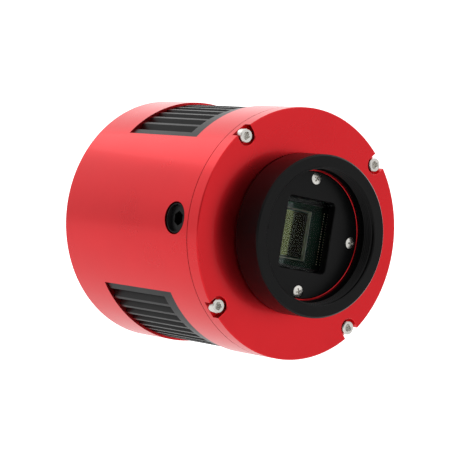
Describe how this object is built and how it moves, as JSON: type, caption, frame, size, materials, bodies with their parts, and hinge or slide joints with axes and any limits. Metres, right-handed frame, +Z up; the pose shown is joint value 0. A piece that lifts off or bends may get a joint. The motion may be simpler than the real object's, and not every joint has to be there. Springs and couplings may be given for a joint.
{
  "type": "guide camera",
  "caption": "Round red cooled astronomy camera with a screw-on black ring, a windowed square sensor, vent grilles on two sides and a rear fan.",
  "frame": {"origin": "centre of the front ring's rim, where a telescope adapter seats", "axes": "+Y runs back along the optical axis from the ring to the rear cover, +Z is up, with the vent grilles on the top and the underside"},
  "size_m": [0.078, 0.086, 0.078],
  "materials": {
    "red_anodised": "satin anodised red",
    "black_anodised": "satin anodised black",
    "bare_aluminium": "milled",
    "screw_steel": "bright nickel-plated steel",
    "spring_steel": "rolled sheet",
    "connector_steel": "plated sheet",
    "window_glass": "coated, clear",
    "seal_rubber": "matt",
    "pad_rubber": "soft grey pad",
    "vent_plastic": "fine matt black",
    "fan_plastic": "moulded black",
    "socket_white": "natural nylon",
    "socket_black": "moulded black",
    "usb3_blue": "moulded blue",
    "chip_plastic": "epoxy",
    "board_green": "glass-epoxy with solder mask",
    "polyimide": "amber film",
    "baffle_plastic": "flocked black",
    "desiccant": "chalky pellet",
    "package_ceramic": "dark green-black ceramic",
    "sensor_silicon": "polished silicon under coatings",
    "sensor_frame_metal": "plated rim",
    "cooler_ceramic": "white alumina",
    "cooler_alloy": "sintered alloy",
    "brass_post": "turned",
    "coil_copper": "enamelled copper wire",
    "magnet_ferrite": "bonded ferrite",
    "lead_red": "silicone sleeve",
    "lead_black": "PVC sleeve"
  },
  "bodies": {
    "camera": {"front_housing": "red_anodised", "aperture_plate": "black_anodised", "aperture_screws": "screw_steel", "protect_window": "window_glass", "window_oring": "seal_rubber", "window_seat": "black_anodised", "front_screws": "screw_steel", "desiccant_tablets": "desiccant", "body_shell": "red_anodised", "vent_grille_top": "vent_plastic", "vent_grille_bottom": "vent_plastic", "sensor_baffle": "baffle_plastic", "dew_heater": "polyimide", "board_posts": "brass_post", "sensor_package": "package_ceramic", "sensor_die": "sensor_silicon", "sensor_frame": "sensor_frame_metal", "sensor_cover_glass": "window_glass", "sensor_board": "board_green", "sensor_board_screws": "screw_steel", "thermal_pad": "pad_rubber", "cold_finger": "bare_aluminium", "thermistor": "chip_plastic", "cooler_plates": "cooler_ceramic", "cooler_pellets": "cooler_alloy", "chamber_oring": "seal_rubber", "heat_sink": "black_anodised", "heat_sink_screws": "screw_steel", "fan_frame": "fan_plastic", "fan_stator": "spring_steel", "fan_coils": "coil_copper", "fan_bearings": "screw_steel", "fan_screws": "screw_steel", "rear_cover": "red_anodised", "rear_screws": "screw_steel", "main_board": "board_green", "board_chips": "chip_plastic", "board_brackets": "bare_aluminium", "board_screws": "screw_steel", "usb3_shell": "connector_steel", "usb3_tongues": "usb3_blue", "usb2_shell": "connector_steel", "usb2_tongues": "socket_black", "dc_jack": "socket_black", "dc_pin": "connector_steel", "flex_cable": "polyimide", "flex_sockets": "socket_white", "cooler_leads": "lead_red", "cooler_sockets": "socket_white", "fan_lead": "lead_black", "fan_socket": "socket_white"},
    "shim": {"ring_shim": "spring_steel"},
    "ring": {"extension_ring": "black_anodised"},
    "plug_seal": {"plug_oring": "seal_rubber"},
    "plug": {"desiccant_plug": "black_anodised"},
    "fan_wheel": {"fan_rotor": "fan_plastic", "fan_magnet": "magnet_ferrite", "fan_shaft": "screw_steel"}
  },
  "joints": [
    {"name": "ring_advance", "type": "slide", "parent": "camera", "child": "shim", "axis": [0, -1, 0], "range_m": [0, 0.00413]},
    {"name": "ring_turn", "type": "hinge", "parent": "shim", "child": "ring", "pos_m": [0, 0, 0], "axis": [0, -1, 0], "range_deg": [0, 1980]},
    {"name": "plug_advance", "type": "slide", "parent": "camera", "child": "plug_seal", "axis": [-0.9989, 0, -0.0471], "range_m": [0, 0.00564]},
    {"name": "plug_turn", "type": "hinge", "parent": "plug_seal", "child": "plug", "pos_m": [0, 0.0231, 0], "axis": [-0.9989, 0, -0.0471], "range_deg": [0, 2700]},
    {"name": "fan_spin", "type": "hinge", "parent": "camera", "child": "fan_wheel", "pos_m": [-0.006, 0.078, 0], "axis": [0, 1, 0], "continuous": true}
  ],
  "couplings": [
    {"joint": "ring_advance", "follows": "ring_turn", "m_per_rad": 0.00011937},
    {"joint": "plug_advance", "follows": "plug_turn", "m_per_rad": 0.00011937}
  ]
}
